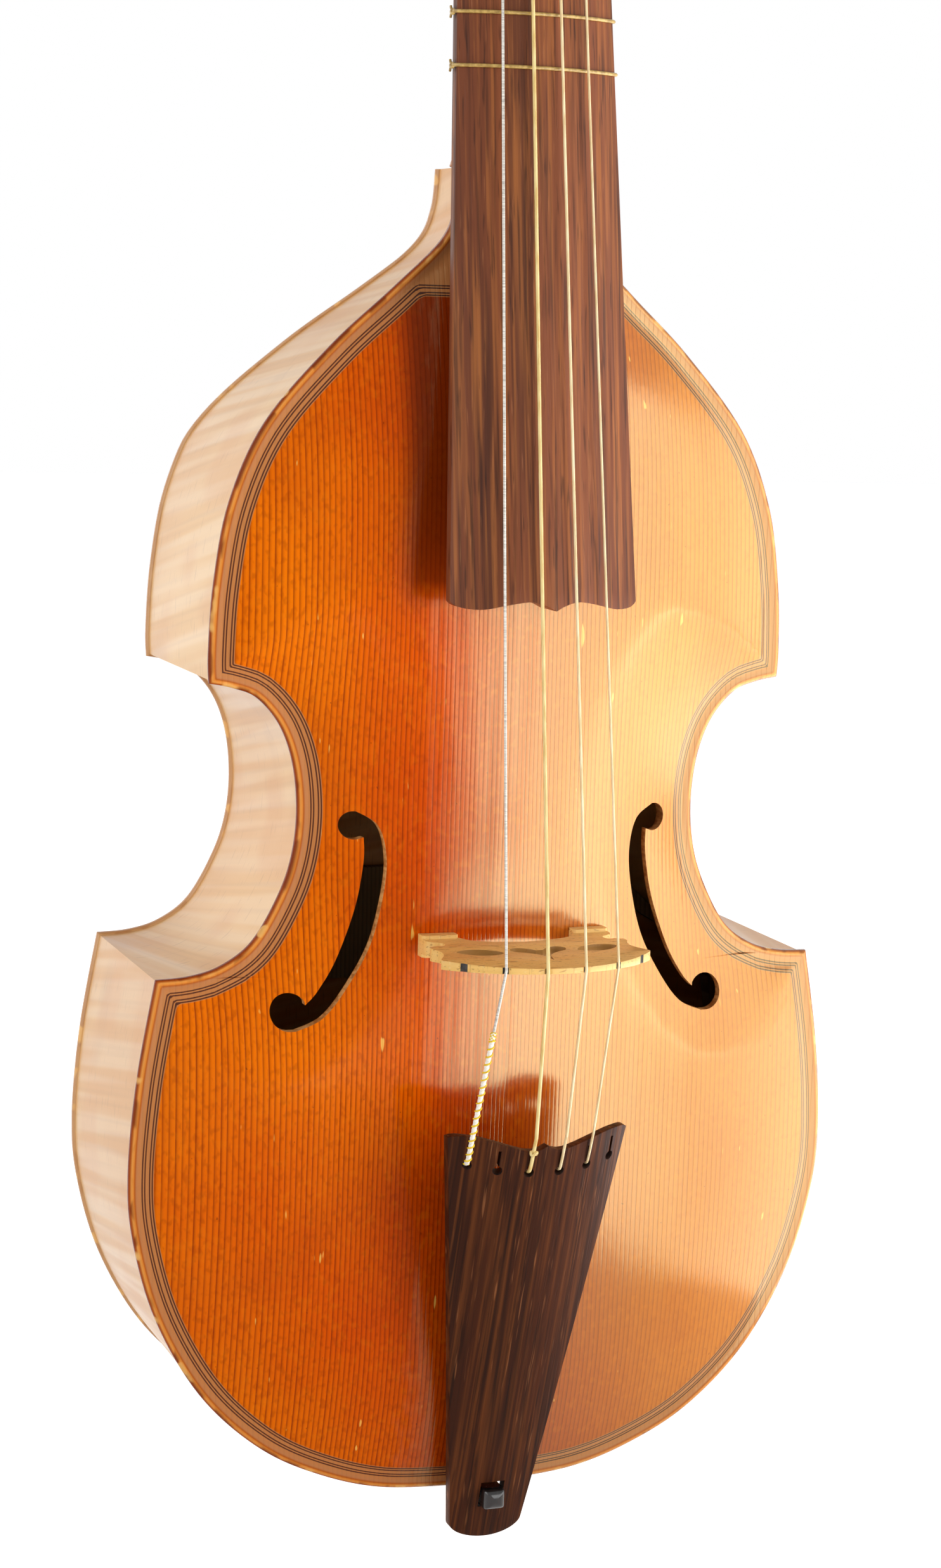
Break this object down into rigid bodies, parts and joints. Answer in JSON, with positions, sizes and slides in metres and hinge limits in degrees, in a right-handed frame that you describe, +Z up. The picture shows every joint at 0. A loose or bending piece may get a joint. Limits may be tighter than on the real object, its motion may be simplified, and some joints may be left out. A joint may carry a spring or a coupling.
{
  "type": "viola da gamba",
  "caption": "Treble viol body with arched belly, bent flat back, C holes, fretted neck, pegbox with turning pegs and scroll, bridge, tailpiece on a hook bar and gut strings",
  "frame": {"origin": "on the outer face of the flat back, on its centre line, level with the bridge", "axes": "+Z runs up along the strings towards the scroll, -Y is the side of the belly, +X is the treble side"},
  "size_m": [0.214, 0.1267, 0.6674],
  "materials": {
    "varnished_spruce": "gloss orange-brown varnish",
    "maple": "satin golden varnish",
    "inner_spruce": "bare",
    "rosewood": "oiled",
    "ebony": "polished",
    "bridge_maple": "bare",
    "gut": "smooth",
    "wound_gut": "fine metal winding"
  },
  "bodies": {
    "body": {"belly": "varnished_spruce", "back": "maple", "lower_rib_treble": "maple", "lower_rib_bass": "maple", "waist_rib_treble": "maple", "waist_rib_bass": "maple", "upper_rib_treble": "maple", "upper_rib_bass": "maple", "lower_belly_lining_treble": "inner_spruce", "lower_belly_lining_bass": "inner_spruce", "lower_back_lining_treble": "inner_spruce", "lower_back_lining_bass": "inner_spruce", "waist_belly_lining_treble": "inner_spruce", "waist_belly_lining_bass": "inner_spruce", "waist_back_lining_treble": "inner_spruce", "waist_back_lining_bass": "inner_spruce", "upper_belly_lining_treble": "inner_spruce", "upper_belly_lining_bass": "inner_spruce", "upper_back_lining_treble": "inner_spruce", "upper_back_lining_bass": "inner_spruce", "lower_corner_block_treble": "inner_spruce", "lower_corner_block_bass": "inner_spruce", "upper_corner_block_treble": "inner_spruce", "upper_corner_block_bass": "inner_spruce", "tail_block": "inner_spruce", "neck_block": "inner_spruce", "bass_bar": "inner_spruce", "sound_post": "inner_spruce", "sound_post_plate": "inner_spruce", "lower_back_brace": "inner_spruce", "upper_back_brace": "inner_spruce", "neck": "maple", "fingerboard": "rosewood", "nut": "ebony", "bridge": "bridge_maple", "tailpiece": "rosewood", "hook_bar": "ebony", "string_bass": "wound_gut", "string_middle_bass": "gut", "string_middle_treble": "gut", "string_treble": "gut"},
    "peg_1": {"peg_1": "rosewood"},
    "peg_2": {"peg_2": "rosewood"},
    "peg_3": {"peg_3": "rosewood"},
    "peg_4": {"peg_4": "rosewood"},
    "peg_5": {"peg_5": "rosewood"},
    "peg_6": {"peg_6": "rosewood"},
    "fret_1": {"fret_1": "gut"},
    "fret_2": {"fret_2": "gut"},
    "fret_3": {"fret_3": "gut"},
    "fret_4": {"fret_4": "gut"},
    "fret_5": {"fret_5": "gut"},
    "fret_6": {"fret_6": "gut"},
    "fret_7": {"fret_7": "gut"}
  },
  "joints": [
    {"name": "peg_1_turn", "type": "hinge", "parent": "body", "child": "peg_1", "pos_m": [0, -0.05076, 0.38194], "axis": [1, 0, 0], "continuous": true},
    {"name": "peg_2_turn", "type": "hinge", "parent": "body", "child": "peg_2", "pos_m": [0, -0.04538, 0.39595], "axis": [1, 0, 0], "continuous": true},
    {"name": "peg_3_turn", "type": "hinge", "parent": "body", "child": "peg_3", "pos_m": [0, -0.04, 0.40996], "axis": [1, 0, 0], "continuous": true},
    {"name": "peg_4_turn", "type": "hinge", "parent": "body", "child": "peg_4", "pos_m": [0, -0.03463, 0.42397], "axis": [1, 0, 0], "continuous": true},
    {"name": "peg_5_turn", "type": "hinge", "parent": "body", "child": "peg_5", "pos_m": [0, -0.02925, 0.43798], "axis": [1, 0, 0], "continuous": true},
    {"name": "peg_6_turn", "type": "hinge", "parent": "body", "child": "peg_6", "pos_m": [0, -0.02387, 0.45199], "axis": [1, 0, 0], "continuous": true},
    {"name": "fret_1_shift", "type": "slide", "parent": "body", "child": "fret_1", "axis": [0, 0.1286, 0.9917], "range_m": [-0.003, 0.003]},
    {"name": "fret_2_shift", "type": "slide", "parent": "body", "child": "fret_2", "axis": [0, 0.1286, 0.9917], "range_m": [-0.003, 0.003]},
    {"name": "fret_3_shift", "type": "slide", "parent": "body", "child": "fret_3", "axis": [0, 0.1286, 0.9917], "range_m": [-0.003, 0.003]},
    {"name": "fret_4_shift", "type": "slide", "parent": "body", "child": "fret_4", "axis": [0, 0.1286, 0.9917], "range_m": [-0.003, 0.003]},
    {"name": "fret_5_shift", "type": "slide", "parent": "body", "child": "fret_5", "axis": [0, 0.1286, 0.9917], "range_m": [-0.003, 0.003]},
    {"name": "fret_6_shift", "type": "slide", "parent": "body", "child": "fret_6", "axis": [0, 0.1286, 0.9917], "range_m": [-0.003, 0.003]},
    {"name": "fret_7_shift", "type": "slide", "parent": "body", "child": "fret_7", "axis": [0, 0.1286, 0.9917], "range_m": [-0.003, 0.003]}
  ]
}
